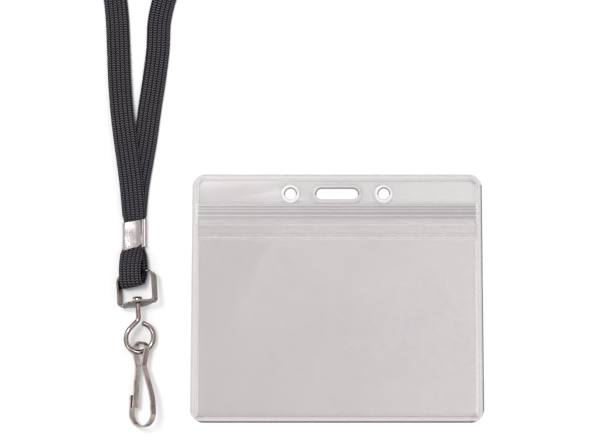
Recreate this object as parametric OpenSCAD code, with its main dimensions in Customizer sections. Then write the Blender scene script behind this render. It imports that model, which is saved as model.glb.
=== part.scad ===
/* [Holder] */
// Width of the clear holder
holder_w = 115; // [90:1:150]
// Height of the clear holder
holder_h = 98; // [85:1:140]
// Radius of the holder's outer corners
corner_r = 4.5; // [3:0.5:10]
// Thickness of one vinyl film
film_t = 0.4; // [0.2:0.05:0.8]
// Depth of the pocket between the films
pocket_gap = 0.5; // [0.3:0.1:2]
// Width of the welded border
weld_w = 2.4; // [1.5:0.1:4]

/* [Header] */
// Height of the header above the zip
header_h = 11.4; // [10:0.1:20]
// Distance from the top edge to the middle of the holes
hole_drop = 7.7; // [5.5:0.1:8]
// Distance between the two round holes
hole_spacing = 36.8; // [28:0.2:60]
// Radius of each round hole
hole_r = 2.25; // [1.5:0.05:2.4]
// Length of the strap slot, end to end
slot_len = 16.6; // [10:0.2:20]
// Height of the strap slot
slot_h = 4.2; // [3:0.1:4.6]
// Width of the weld rim round each hole
rim_w = 1.5; // [0.5:0.1:2]
// Height of the weld rim
rim_h = 0.2; // [0.1:0.05:0.5]

/* [Zip] */
// Height of the zip strip
zip_h = 6; // [5:0.1:10]
// Distance between neighbouring ridges
ridge_pitch = 1.1; // [1:0.05:2]
// Width of one ridge
ridge_w = 0.5; // [0.3:0.05:0.8]
// Number of ridges on the lip
ridge_count = 4; // [2:1:4]
// Height of a ridge above the lip
ridge_h = 0.25; // [0.1:0.05:0.5]
// Height of the whole opening lip
lip_h = 14; // [12:0.5:25]
// Width of the rib that closes the zip
rib_w = 0.7; // [0.4:0.05:0.8]
// Clearance on each side of the rib
rib_gap = 0.25; // [0.15:0.05:0.4]

/* [Strap] */
// Width of the flat braid
strap_w = 9.2; // [7:0.1:10]
// Thickness of the flat braid
strap_t = 1.2; // [0.8:0.1:2]

/* [Crimp] */
// Length of the crimped band
crimp_len = 10.9; // [8:0.1:16]
// Thickness of the crimp's sheet
crimp_t = 0.5; // [0.3:0.05:0.8]
// Slope of the crimp's two ends
crimp_slope = 11; // [0:1:15]

/* [Bracket] */
// Outside width of the bracket across its arms
bracket_w = 16; // [15.4:0.2:20]
// Height of the bracket from the base to the bar
bracket_h = 12.6; // [10:0.2:20]
// Thickness of the bracket's sheet
bracket_t = 0.8; // [0.5:0.05:1.2]
// Width of the arms
arm_w = 3.6; // [2.5:0.1:5]
// Radius of the arms' curve into the bar
arm_bend = 3.4; // [2:0.1:4.5]
// Widest part of the base plate
base_w = 8; // [6:0.1:9]
// Width of the bar inside the strap loop
bar_w = 2; // [1.2:0.1:2.2]

/* [Swivel] */
// Diameter of the swivel's wire
wire_d = 1.9; // [1.2:0.1:2.2]
// Outside diameter of the ring
ring_d = 13.4; // [13:0.2:17]
// Clearance of the shank in the base plate
shank_gap = 0.3; // [0.2:0.05:0.4]
// Diameter of the shank's flattened head
head_d = 4; // [3.6:0.1:4.6]
// Thickness of the shank's flattened head
head_t = 0.7; // [0.4:0.1:1.2]

/* [Hook] */
// Width of the hook's strip
strip_w = 2.8; // [2:0.1:3.4]
// Thickness of the hook's strip
strip_t = 0.75; // [0.5:0.05:1]
// Length of the hook, end to end
hook_len = 33.6; // [30:0.2:45]
// Widest part of the hook
hook_w = 11.7; // [10.5:0.1:16]
// Clear gap between the gate and the latch
latch_gap = 0.3; // [0.2:0.05:0.6]

/* [Hidden] */
cut_eps = 0.01;
round_fn = 64;

// Holder, built up from its back face at z = 0
front_z = film_t + pocket_gap;
top_z = front_z + film_t;
holder_top = holder_h / 2;
holder_bottom = -holder_h / 2;
zip_top = holder_top - header_h;
zip_bottom = zip_top - zip_h;
lip_gap = 0.3;
lip_top = zip_top - lip_gap;
lip_bottom = zip_top - lip_h;
inner_w = holder_w - 2 * weld_w;
inner_h = holder_h - 2 * weld_w;
inner_r = corner_r - weld_w / 2;
lip_w = inner_w - 2 * lip_gap;
hole_y = holder_top - hole_drop;
groove_floor = 0.15;
rib_tip_gap = 0.1;
rib_depth = pocket_gap - groove_floor - rib_tip_gap;
ridge_drop = 0.9;

// Lower end of the strap, with the crimp. The braid lies double in the crimp.
crimp_x = -79.8;
crimp_y = 25.2;
layer_gap = 0.05;
crimp_squeeze = 0.89;
crimp_inner_w = strap_w * crimp_squeeze + 2 * layer_gap;
crimp_inner_h = 2 * strap_t + 3 * layer_gap;
crimp_w = crimp_inner_w + 2 * crimp_t;
crimp_h = crimp_inner_h + 2 * crimp_t;
crimp_r = 0.9;
crimp_half = crimp_len / 2;
strand_step = 2;
low_z = crimp_t + layer_gap + strap_t / 2;
high_z = low_z + strap_t + layer_gap;

// The bar through the strap loop, and how the bracket hangs on it
loop_x = -79.8;
bar_x = -79;
bar_y = 10.2;
bar_z = 4.4;
bar_yaw = 12;
bar_roll = -20;
bracket_tilt = 20;
bar_at = [bar_x, bar_y, bar_z];
bar_turn = [-bracket_tilt, bar_roll, bar_yaw];
bar_side_gap = 1.6;
foot_bend = 1.6;
base_side_gap = 0.4;
base_half = bracket_w / 2 - bracket_t - base_side_gap;
base_circle = (base_half * base_half + base_w * base_w / 4) / base_w;

// Swivel eye: its shank runs down from the middle of the base, at its own slope
eye_yaw = 2.5;
eye_pitch = 10;
eye_roll = 25;
shank_lean = bracket_tilt + eye_pitch;
wire_r = wire_d / 2;
base_hole_r = wire_r / cos(shank_lean) + bracket_t / 2 * tan(shank_lean) + shank_gap;
head_back = bracket_t / 2 / cos(shank_lean) + head_d / 2 * tan(shank_lean) + shank_gap;
ring_r = (ring_d - wire_d) / 2;
shank_len = 5.2;
elbow_r = 2.4;
elbow_turn = 52;
ring_end = 74;
ring_start = 180 - elbow_turn;
ring_side = (ring_r * cos(elbow_turn) - elbow_r * (1 - cos(elbow_turn))) / sin(elbow_turn);
ring_mid = -shank_len - elbow_r * sin(elbow_turn) - ring_side * cos(elbow_turn) - ring_r * sin(elbow_turn);
base_at = bar_at - bracket_h * turned([0, 1, 0], bar_turn);

// Hook, hung on the bottom of the ring
hook_roll = -34;
hook_tilt = -8;
hook_yaw = 2;
eye_w = 8.4;
eye_h = 9.2;
eye_share = 0.97;
end_round = 0.92;
pinch_w = 2.8;
pinch_round = 1.2;
leg_round = 18;
leg_bend = 22.4;
latch_len = 12.4;
latch_lean = 0.9;
gate_end_y = 25.4;
split_gap = 0.3;
hook_drop = 3.8;
eye_in = (eye_w - strip_t) / 2;
eye_corner = 90 - atan((eye_in - pinch_w / 2) / eye_h);
eye_r = eye_share * eye_in * tan(eye_corner / 2);
hook_in = hook_w / 2 - strip_t / 2;
hook_end = hook_len - strip_t;
hook_at = base_at + turned([0, ring_mid - ring_r, 0], [eye_pitch, 0, eye_yaw]);

// The hank of strap beyond the holder
hank_x = -78;
hank_y = 168;
hank_run = 51;
hank_out = 29.6;
hank_in = 12.4;
hank_z = 0.8;
hank_h = 4.6;
tie_t = 0.8;
tie_w = 9;

// Routes of the strap's middle line from the crimp to the hank
left_route = [[-80.2, 36, 2.9], [-80.9, 44, 3], [-82, 53, 2.9], [-83.4, 63, 2.7],
    [-84.7, 74, 2.4], [-85.6, 86, 2], [-86.1, 98, 1.4], [-86.7, 111, 1],
    [-88.2, 123, 0.9], [-91.3, 135, 1], [-94.2, 147, 1.5]];
right_route = [[-79.5, 36, 1.3], [-78.7, 44, 1.2], [-77.2, 53, 1.1], [-75.5, 63, 1],
    [-74, 74, 0.9], [-72.2, 86, 0.9], [-70.7, 98, 0.8], [-70, 110, 0.8],
    [-67, 122, 1], [-60.8, 135, 1.6], [-56, 148, 2.6]];
// The loop round the bar: y and z from the bar, how far it has turned to the bar's slope, and its shift
loop_route = [[9.6, -3.1, 0.2, -0.1], [6.6, -2.8, 0.6, 0.4], [3, -2.5, 0.9, 1], [0, -2.4, 1, 1],
    [-2.6, -2.3, 1, 0.5], [-4.4, -1.6, 1, 0], [-5.1, 0, 1, -0.5], [-4.6, 1.6, 1, -1],
    [-3, 2.35, 1, -1.3], [0, 2.5, 1, -1.5], [3, 2.1, 0.9, -1.5], [6.6, 0.5, 0.6, -1.1], [9.6, -1.4, 0.2, -0.5]];

function turned(v, a) = let (x = v[0], y = v[1] * cos(a[0]) - v[2] * sin(a[0]),
    z = v[1] * sin(a[0]) + v[2] * cos(a[0]), p = x * cos(a[1]) + z * sin(a[1]),
    q = -x * sin(a[1]) + z * cos(a[1])) [p * cos(a[2]) - y * sin(a[2]), p * sin(a[2]) + y * cos(a[2]), q];
function unit(v) = v / norm(v);
function along(p, i) = unit(p[min(i + 1, len(p) - 1)] - p[max(i - 1, 0)]);

// A path through corners [x, y, radius], each rounded by its arc
function corner_arc(a, b, c, r, n = 10) = let (u = unit(a - b), v = unit(c - b), half = acos(u * v) / 2,
    centre = b + unit(u + v) * r / sin(half), from = b + u * r / tan(half) - centre,
    side = sign(cross(u, v)), start = atan2(from[1], from[0]), sweep = -side * (180 - 2 * half))
    [for (i = [0 : n]) centre + r * [cos(start + sweep * i / n), sin(start + sweep * i / n)]];
function flat(c) = [c[0], c[1]];
function rounded(c) = [flat(c[0]), for (i = [1 : len(c) - 2])
    each corner_arc(flat(c[i - 1]), flat(c[i]), flat(c[i + 1]), c[i][2]), flat(c[len(c) - 1])];
function loop_of(c) = let (n = len(c)) [for (i = [0 : n - 1])
    each corner_arc(flat(c[(i + n - 1) % n]), flat(c[i]), flat(c[(i + 1) % n]), c[i][2])];
function beside(p, i, d) = let (v = along(p, i)) p[i] + d * [-v[1], v[0]];
function band(p, t) = concat([for (i = [0 : len(p) - 1]) beside(p, i, t / 2)],
    [for (i = [len(p) - 1 : -1 : 0]) beside(p, i, -t / 2)]);

// A flat braid swept along points, each with its own width direction
braid_sides = 10;
edge_power = 0.45;
face_power = 0.7;
function power(v, e) = sign(v) * pow(abs(v), e);
function braid_ring(p, dir, side, w, t) = let (up = unit(cross(side, dir)))
    [for (k = [0 : braid_sides - 1]) let (a = 360 * (k + 0.5) / braid_sides)
        p + side * power(cos(a), edge_power) * w / 2 + up * power(sin(a), face_power) * t / 2];
module braid(points, sides, widths, t) {
    n = len(points);
    m = braid_sides;
    verts = [for (i = [0 : n - 1]) each braid_ring(points[i], along(points, i), sides[i], widths[i], t)];
    walls = [for (i = [0 : n - 2], k = [0 : m - 1])
        let (a = i * m + k, b = i * m + (k + 1) % m) each [[a, b, b + m], [a, b + m, a + m]]];
    caps = [[for (k = [m - 1 : -1 : 0]) k], [for (k = [0 : m - 1]) (n - 1) * m + k]];
    polyhedron(verts, concat(walls, caps), convexity = 6);
}

// Rounded plate with its middle on the origin
module plate(w, h, r, t) {
    linear_extrude(t)
        square_round(w, h, r);
}
module square_round(w, h, r) {
    square([w - 2 * r, h], center = true);
    square([w, h - 2 * r], center = true);
    for (x = [-1, 1], y = [-1, 1])
        translate([x * (w / 2 - r), y * (h / 2 - r)]) circle(r, $fn = round_fn);
}
module slot_outline(len, h) {
    square([len - h, h], center = true);
    for (x = [-1, 1])
        translate([x * (len - h) / 2, 0]) circle(h / 2, $fn = round_fn);
}
// Everything that is cut through the header, with its edge moved out by grow
module header_holes(grow, low, t) {
    for (x = [-1, 1])
        translate([x * hole_spacing / 2, hole_y, low]) cylinder(t, r = hole_r + grow, $fn = round_fn);
    translate([0, hole_y, low])
        linear_extrude(t) slot_outline(slot_len + 2 * grow, slot_h + 2 * grow);
}

module back_panel() {
    color([0.86, 0.86, 0.87, 0.4])
        difference() {
            plate(holder_w, holder_h, corner_r, film_t);
            header_holes(0, -1, film_t + 2);
        }
}
module edge_weld() {
    color([0.92, 0.92, 0.93, 0.5])
        translate([0, 0, film_t])
            difference() {
                plate(holder_w, holder_h, corner_r, top_z - film_t);
                translate([0, 0, -1]) plate(inner_w, inner_h, inner_r, top_z + 2);
            }
}
// The part of the space inside the weld that lies between two heights
module inside_weld(low, high, z, t) {
    translate([0, 0, z])
        intersection() {
            plate(inner_w, inner_h, inner_r, t);
            translate([-inner_w, low, -1]) cube([2 * inner_w, high - low, t + 2]);
        }
}
module front_panel() {
    color([0.85, 0.85, 0.86, 0.4])
        inside_weld(holder_bottom, lip_bottom - lip_gap, front_z, film_t);
}
module header_layer() {
    color([0.88, 0.88, 0.89, 0.4]) {
        difference() {
            inside_weld(zip_top + lip_gap, holder_top, film_t, film_t);
            header_holes(0, -1, top_z + 2);
        }
        difference() {
            header_holes(rim_w, 2 * film_t, rim_h);
            header_holes(0, -1, top_z + 2);
        }
    }
}
module zip_groove() {
    rib_y = zip_top - zip_h / 2;
    color([0.8, 0.8, 0.81, 0.5])
        difference() {
            inside_weld(zip_bottom, zip_top, film_t, pocket_gap - rib_gap / 2);
            for (s = [-1, 1])
                translate([-holder_w / 2, rib_y + s * ridge_pitch - rib_w / 2 - rib_gap, film_t + groove_floor])
                    cube([holder_w, rib_w + 2 * rib_gap, pocket_gap]);
        }
}
module front_lip() {
    color([0.84, 0.84, 0.85, 0.4])
        translate([-lip_w / 2, lip_bottom, front_z])
            cube([lip_w, lip_top - lip_bottom, film_t]);
    color([0.84, 0.84, 0.85, 0.4])
        for (i = [0 : ridge_count - 1])
            translate([-lip_w / 2, zip_top - ridge_drop - i * ridge_pitch - ridge_w, front_z + film_t])
                cube([lip_w, ridge_w, ridge_h]);
}
module zip_rib() {
    rib_y = zip_top - zip_h / 2;
    color([0.8, 0.8, 0.81, 0.5])
        for (s = [-1, 1])
            translate([-lip_w / 2, rib_y + s * ridge_pitch - rib_w / 2, front_z - rib_depth])
                cube([lip_w, rib_w, rib_depth]);
}

module strand(route, z) {
    start = [[crimp_x, crimp_y, z], [crimp_x, crimp_y + strand_step, z], [crimp_x, crimp_y + crimp_half, z]];
    points = concat(start, route);
    n = len(points);
    sides = [for (i = [0 : n - 1]) let (v = along(points, i)) i == 0 ? [1, 0, 0] : unit(cross(v, [0, 0, 1]))];
    widths = [for (i = [0 : n - 1]) strap_w * (i < 3 ? crimp_squeeze : 1)];
    braid(points, sides, widths, strap_t);
}
module strap_left() {
    color([0.16, 0.15, 0.17]) strand(left_route, high_z);
}
module strap_right() {
    color([0.14, 0.13, 0.15]) strand(right_route, low_z);
}
module strap_loop() {
    slope = turned([1, 0, 0], [0, bar_roll, bar_yaw]);
    low = [[crimp_x, crimp_y, low_z], [crimp_x, crimp_y - strand_step, low_z], [crimp_x, crimp_y - crimp_half, low_z]];
    high = [[crimp_x, crimp_y - crimp_half, high_z], [crimp_x, crimp_y - strand_step, high_z], [crimp_x, crimp_y, high_z]];
    middle = [for (p = loop_route) [loop_x + p[3], bar_y + p[0], bar_z + p[1]]];
    points = concat(low, middle, high);
    n = len(points);
    twist = concat([0, 0, 0], [for (p = loop_route) p[2]], [0, 0, 0]);
    sides = [for (i = [0 : n - 1]) unit([1, 0, 0] * (1 - twist[i]) + slope * twist[i])];
    widths = [for (i = [0 : n - 1]) strap_w * (i < 3 || i > n - 4 ? crimp_squeeze : 1)];
    color([0.16, 0.15, 0.17]) braid(points, sides, widths, strap_t);
}
module crimp() {
    slant = tan(crimp_slope) * crimp_w / 2;
    color([0.85, 0.82, 0.81])
        intersection() {
            translate([crimp_x, crimp_y + crimp_half + slant, crimp_h / 2])
                rotate([90, 0, 0])
                    linear_extrude(crimp_len + 2 * slant)
                        difference() {
                            square_round(crimp_w, crimp_h, crimp_r);
                            square([crimp_inner_w, crimp_inner_h], center = true);
                        }
            translate([crimp_x, crimp_y, 0])
                rotate([0, 0, crimp_slope])
                    cube([4 * crimp_w, crimp_len * cos(crimp_slope), 4 * crimp_h], center = true);
        }
}

module stadium(r) {
    square([2 * r, hank_run], center = true);
    for (y = [-1, 1])
        translate([0, y * hank_run / 2]) circle(r, $fn = round_fn);
}
module strap_hank() {
    color([0.15, 0.14, 0.16])
        translate([hank_x, hank_y + hank_run / 2, hank_z])
            linear_extrude(hank_h)
                difference() {
                    stadium(hank_out);
                    stadium(hank_in);
                }
}
module hank_tie() {
    limb = hank_out - hank_in;
    color([0.1, 0.1, 0.1])
        translate([hank_x - hank_in - limb / 2, hank_y + hank_run / 2, 0])
            difference() {
                translate([-limb / 2 - tie_t, -tie_w / 2, 0]) cube([limb + 2 * tie_t, tie_w, hank_z + hank_h + tie_t]);
                translate([-limb / 2, -tie_w, hank_z]) cube([limb, 2 * tie_w, hank_h]);
            }
}

// The bracket in its own frame: the bar on the origin, the base down at -bracket_h
module bracket_outline(in) {
    w = bracket_w / 2 - in;
    low = -bracket_h - bracket_t / 2 + in;
    high = bracket_t / 2 - in;
    polygon(loop_of([[w, low, foot_bend - in], [w, high, arm_bend - in],
        [-w, high, arm_bend - in], [-w, low, foot_bend - in]]));
}
module swivel_bracket() {
    bar_half = strap_w / 2 + bar_side_gap;
    color([0.62, 0.56, 0.54])
        translate(bar_at)
            rotate(bar_turn)
                difference() {
                    union() {
                        translate([0, 0, -arm_w / 2])
                            linear_extrude(arm_w)
                                difference() {
                                    bracket_outline(0);
                                    bracket_outline(bracket_t);
                                }
                        translate([0, -bracket_h + bracket_t / 2, 0])
                            rotate([90, 0, 0])
                                linear_extrude(bracket_t)
                                    intersection_for (s = [-1, 1])
                                        translate([0, s * (base_circle - base_w / 2)])
                                            circle(base_circle, $fn = 2 * round_fn);
                    }
                    for (s = [-1, 1])
                        translate([0, 0, s * (bar_w + bracket_w) / 2])
                            cube([2 * bar_half, 2 * bracket_t + arm_bend, bracket_w], center = true);
                    translate([0, -bracket_h + bracket_t, 0])
                        rotate([90, 0, 0]) cylinder(2 * bracket_t, r = base_hole_r, $fn = round_fn);
                }
}

// The eye in its own frame: the base plate on the origin, the shank along -Y
function on_circle(c, r, a) = [c[0] + r * cos(a), c[1] + r * sin(a), 0];
elbow_steps = 6;
link_overlap = 0.5;
link_fill = 0.985;
link_turn = 2;
link_route = concat([[0, -shank_len + link_overlap, 0]],
    [for (i = [0 : elbow_steps]) on_circle([-elbow_r, -shank_len], elbow_r, -elbow_turn * i / elbow_steps)],
    [for (i = [0 : 3]) on_circle([0, ring_mid], ring_r, ring_start + link_turn * i)]);
link_sides = 12;
module wire_link(points, r) {
    n = len(points);
    m = link_sides;
    verts = [for (i = [0 : n - 1]) let (v = along(points, i)) each [for (k = [0 : m - 1])
        points[i] + r * (cos(360 * k / m) * [-v[1], v[0], 0] - sin(360 * k / m) * [0, 0, 1])]];
    walls = [for (i = [0 : n - 2], k = [0 : m - 1])
        let (a = i * m + k, b = i * m + (k + 1) % m) each [[a, b, b + m], [a, b + m, a + m]]];
    caps = [[for (k = [m - 1 : -1 : 0]) k], [for (k = [0 : m - 1]) (n - 1) * m + k]];
    polyhedron(verts, concat(walls, caps), convexity = 4);
}
module swivel_eye() {
    color([0.66, 0.6, 0.57])
        translate(base_at)
            rotate([0, 0, eye_yaw]) rotate([eye_pitch, 0, 0]) rotate([0, eye_roll, 0]) {
                translate([0, head_back + head_t, 0])
                    rotate([90, 0, 0]) cylinder(head_t + cut_eps, d = head_d, $fn = round_fn);
                translate([0, head_back, 0])
                    rotate([90, 0, 0]) cylinder(head_back + shank_len, r = wire_r, $fn = round_fn);
                wire_link(link_route, link_fill * wire_r);
                translate([0, ring_mid, 0])
                    rotate([0, 0, ring_start])
                        rotate_extrude(angle = 360 + ring_end - ring_start, $fn = round_fn)
                            translate([ring_r, 0]) circle(wire_r, $fn = round_fn / 2);
            }
}

// The hook in its own frame: the ring's wire on the origin, the hook hanging along -Y
module in_hook_frame() {
    translate(hook_at)
        rotate([0, 0, hook_yaw]) rotate([hook_tilt, 0, 0]) rotate([0, hook_roll, 0])
            translate([0, hook_drop, -strip_w / 2])
                linear_extrude(strip_w) children();
}
module hook_body() {
    color([0.7, 0.64, 0.6])
        in_hook_frame()
            polygon(band(rounded([[-pinch_w / 2, -eye_h], [-eye_in, 0, eye_r], [eye_in, 0, eye_r],
                [pinch_w / 2, -eye_h, pinch_round], [hook_in, -leg_bend, leg_round], [hook_in, -hook_end, end_round * hook_in],
                [-hook_in, -hook_end, end_round * hook_in], [-hook_in + latch_lean, latch_len - hook_end]]), strip_t));
}
module hook_gate() {
    end_x = -hook_in + latch_lean + strip_t + latch_gap;
    start = [-pinch_w / 2, -eye_h];
    finish = [end_x, -gate_end_y];
    first = start + unit(finish - start) * split_gap;
    color([0.6, 0.53, 0.52])
        in_hook_frame()
            polygon(band([first, finish], strip_t));
}

back_panel();
edge_weld();
front_panel();
header_layer();
zip_groove();
front_lip();
zip_rib();
strap_left();
strap_right();
strap_hank();
hank_tie();
strap_loop();
crimp();
swivel_bracket();
swivel_eye();
hook_body();
hook_gate();
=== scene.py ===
import math
import random

import bmesh
import bpy
from mathutils import Matrix, Vector


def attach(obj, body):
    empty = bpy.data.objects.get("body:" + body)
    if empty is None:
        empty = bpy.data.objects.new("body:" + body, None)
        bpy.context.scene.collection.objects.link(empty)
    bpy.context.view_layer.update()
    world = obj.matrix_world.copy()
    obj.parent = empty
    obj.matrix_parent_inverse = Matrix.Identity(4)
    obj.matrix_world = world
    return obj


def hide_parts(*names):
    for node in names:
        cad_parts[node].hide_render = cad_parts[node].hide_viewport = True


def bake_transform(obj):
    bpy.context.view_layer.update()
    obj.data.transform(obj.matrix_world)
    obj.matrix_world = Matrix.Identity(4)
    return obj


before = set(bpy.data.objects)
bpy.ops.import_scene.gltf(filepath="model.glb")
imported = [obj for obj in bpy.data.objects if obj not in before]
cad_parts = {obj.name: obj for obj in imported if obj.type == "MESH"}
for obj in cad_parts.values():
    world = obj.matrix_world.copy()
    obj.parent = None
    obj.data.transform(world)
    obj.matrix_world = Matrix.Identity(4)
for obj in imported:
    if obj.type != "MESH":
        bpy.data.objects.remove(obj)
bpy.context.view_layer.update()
scene = bpy.context.scene
mm = 0.001
random.seed(7)
print("frame loaded")

# Camera straight over the middle of the picture

cameraSettings = {"at": (-0.0162, 0.0302, 0.779), "lens": 120, "sensor": 36}
cameraData = bpy.data.cameras.new("camera")
cameraData.lens = cameraSettings["lens"]
cameraData.sensor_width = cameraSettings["sensor"]
cameraData.clip_start = 0.01
camera = bpy.data.objects.new("camera", cameraData)
camera.location = cameraSettings["at"]
scene.collection.objects.link(camera)
scene.camera = camera
scene.view_settings.view_transform = "Standard"


# Meshes from swept outlines


def keep(name, mesh, *materials):
    obj = bpy.data.objects.new(name, mesh)
    scene.collection.objects.link(obj)
    for material in materials:
        mesh.materials.append(material)
    return obj


# Merges doubled points, puts the mesh in the row frame and turns its normals outwards
def tidy(mesh, sharpAngle=35, matrix=None, move=None):
    bm = bmesh.new()
    bm.from_mesh(mesh)
    bmesh.ops.remove_doubles(bm, verts=bm.verts, dist=0.002 * mm)
    if move:
        for vert in bm.verts:
            vert.co = move(vert.co)
    if matrix:
        bmesh.ops.transform(bm, matrix=matrix, verts=bm.verts)
    bmesh.ops.recalc_face_normals(bm, faces=bm.faces)
    bm.to_mesh(mesh)
    bm.free()
    mesh.shade_smooth()
    mesh.set_sharp_from_angle(angle=math.radians(sharpAngle))
    return mesh


def lineOf(points, closed, flat=False):
    line = bpy.data.curves.new("line", "CURVE")
    line.dimensions = "2D" if flat else "3D"
    line.twist_mode = "Z_UP"
    addSpline(line, points, closed)
    return line


def addSpline(line, points, closed):
    spline = line.splines.new("POLY")
    spline.points.add(len(points) - 1)
    for spot, point in zip(spline.points, points):
        x, y, *rest = point
        spot.co = (x * mm, y * mm, rest[0] * mm if rest else 0, 1)
    spline.use_cyclic_u = closed


def meshFrom(line, name):
    carrier = bpy.data.objects.new(name, line)
    scene.collection.objects.link(carrier)
    depsgraph = bpy.context.evaluated_depsgraph_get()
    mesh = bpy.data.meshes.new_from_object(carrier.evaluated_get(depsgraph))
    mesh.name = name
    bpy.data.objects.remove(carrier)
    return mesh


# A profile of (right, up) points carried along a path, in millimetres
def swept(name, path, profile, closed=False, caps=True, sharpAngle=35, matrix=None, move=None):
    line = lineOf(path, closed)
    shape = lineOf(profile, True, flat=True)
    shapeObject = bpy.data.objects.new("profile", shape)
    scene.collection.objects.link(shapeObject)
    line.bevel_mode = "OBJECT"
    line.bevel_object = shapeObject
    line.use_fill_caps = caps and not closed
    mesh = meshFrom(line, name)
    bpy.data.objects.remove(shapeObject)
    return tidy(mesh, sharpAngle, matrix, move)


# A flat sheet with rounded edges; the first outline is its rim and the others are holes
def plate(name, outlines, low, high, edge, sharpAngle=35):
    line = lineOf(outlines[0], True, flat=True)
    for outline in outlines[1:]:
        addSpline(line, outline, True)
    line.fill_mode = "BOTH"
    line.extrude = ((high - low) / 2 - edge) * mm
    line.bevel_depth = edge * mm
    line.bevel_resolution = 2
    line.offset = -edge * mm
    mesh = meshFrom(line, name)
    return tidy(mesh, sharpAngle, Matrix.Translation((0, 0, (low + high) / 2 * mm)))


def arc(centre, radius, start, end, steps):
    turn = [math.radians(start + (end - start) * i / steps) for i in range(steps + 1)]
    return [(centre[0] + radius * math.cos(a), centre[1] + radius * math.sin(a)) for a in turn]


def circle(x, y, radius, steps=48):
    return arc((x, y), radius, 0, 360, steps)[:-1]


def slotPath(x, y, length, height, steps=16):
    reach = (length - height) / 2
    return arc((x + reach, y), height / 2, -90, 90, steps) + arc((x - reach, y), height / 2, 90, 270, steps)


def roundCorner(before, corner, after, radius, steps):
    a, b, c = Vector(before), Vector(corner), Vector(after)
    u, v = (a - b).normalized(), (c - b).normalized()
    half = u.angle(v) / 2
    centre = b + (u + v).normalized() * radius / math.sin(half)
    start = b + u * radius / math.tan(half) - centre
    side = 1 if u.x * v.y - u.y * v.x > 0 else -1
    sweep = -side * (math.pi - 2 * half)
    turned = [Matrix.Rotation(sweep * i / steps, 2) @ start for i in range(steps + 1)]
    return [tuple(centre + t) for t in turned]


# Corners are (x, y, radius); an open path keeps its two end points
def rounded(corners, closed=False, steps=12):
    count = len(corners)
    path = []
    for i, corner in enumerate(corners):
        if not closed and i in (0, count - 1):
            path.append(corner[:2])
        else:
            before, after = corners[i - 1], corners[(i + 1) % count]
            path += roundCorner(before[:2], corner[:2], after[:2], corner[2], steps)
    return path


# Closed and anticlockwise
def roundRect(width, height, radius, steps=3):
    path = []
    for sx, sy, start in ((1, 1, 0), (-1, 1, 90), (-1, -1, 180), (1, -1, 270)):
        corner = (sx * (width / 2 - radius), sy * (height / 2 - radius))
        path += arc(corner, radius, start, start + 90, steps)
    return path


# The closed path with points about one step apart
def lined(path, step):
    dense = []
    for a, b in zip(path, path[1:] + path[:1]):
        count = max(1, round(math.dist(a, b) / step))
        dense += [(a[0] + (b[0] - a[0]) * k / count, a[1] + (b[1] - a[1]) * k / count) for k in range(count)]
    return dense


def meshOf(bm, name):
    mesh = bpy.data.meshes.new(name)
    bm.to_mesh(mesh)
    bm.free()
    return mesh


def joined(name, meshes):
    bm = bmesh.new()
    for mesh in meshes:
        bm.from_mesh(mesh)
        bpy.data.meshes.remove(mesh)
    whole = meshOf(bm, name)
    whole.shade_smooth()
    return whole


# Materials


def newMaterial(name):
    material = bpy.data.materials.new(name)
    material.use_nodes = True
    tree = material.node_tree
    return material, tree, tree.nodes["Principled BSDF"]


# Numbers and colours become the socket's own value, and sockets are linked
def feed(tree, socket, value):
    if isinstance(value, (int, float)):
        socket.default_value = value
    elif isinstance(value, tuple):
        socket.default_value = (*value, 1)
    else:
        tree.links.new(value, socket)


def mathNode(tree, operation, *values):
    node = tree.nodes.new("ShaderNodeMath")
    node.operation = operation
    for socket, value in zip(node.inputs, values):
        feed(tree, socket, value)
    return node.outputs[0]


def mixNode(tree, share, low, high):
    node = tree.nodes.new("ShaderNodeMix")
    node.data_type = "RGBA"
    node.clamp_factor = True
    for index, value in ((0, share), (6, low), (7, high)):
        feed(tree, node.inputs[index], value)
    return node.outputs[2]


def noiseNode(tree, vector, scale, detail=3):
    node = tree.nodes.new("ShaderNodeTexNoise")
    node.inputs["Scale"].default_value = scale
    node.inputs["Detail"].default_value = detail
    tree.links.new(vector, node.inputs["Vector"])
    return node.outputs["Fac"]


# How far a value lies above its middle, times the gain
def swing(tree, value, gain, middle=0.5):
    return mathNode(tree, "MULTIPLY", mathNode(tree, "SUBTRACT", value, middle), gain)


def newGroup(name, inputs, outputs):
    group = bpy.data.node_groups.new(name, "ShaderNodeTree")
    for sockets, way in ((inputs, "INPUT"), (outputs, "OUTPUT")):
        for socket, kind in sockets.items():
            group.interface.new_socket(socket, in_out=way, socket_type="NodeSocket" + kind)
    return group, group.nodes.new("NodeGroupInput").outputs, group.nodes.new("NodeGroupOutput").inputs


def useGroup(tree, group, values):
    node = tree.nodes.new("ShaderNodeGroup")
    node.node_tree = group
    for name, value in values.items():
        feed(tree, node.inputs[name], value)
    return node.outputs


def addRelief(tree, shader, height, strength, distance):
    relief = tree.nodes.new("ShaderNodeBump")
    relief.inputs["Strength"].default_value = strength
    relief.inputs["Distance"].default_value = distance * mm
    tree.links.new(height, relief.inputs["Height"])
    tree.links.new(relief.outputs["Normal"], shader.inputs["Normal"])


def objectPlace(tree):
    return tree.nodes.new("ShaderNodeTexCoord").outputs["Object"]


metalSettings = {
    "cloudScale": 260, "grainScale": 2600, "cloudMiddle": 0.35, "cloudGain": 2.2, "cloudHeight": 2.0,
    "grainRough": 0.16, "cloudRough": 0.24, "paintedReflectionMiddle": 0.3, "paintedReflectionGain": 2.6, "relief": 0.02,
}


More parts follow.
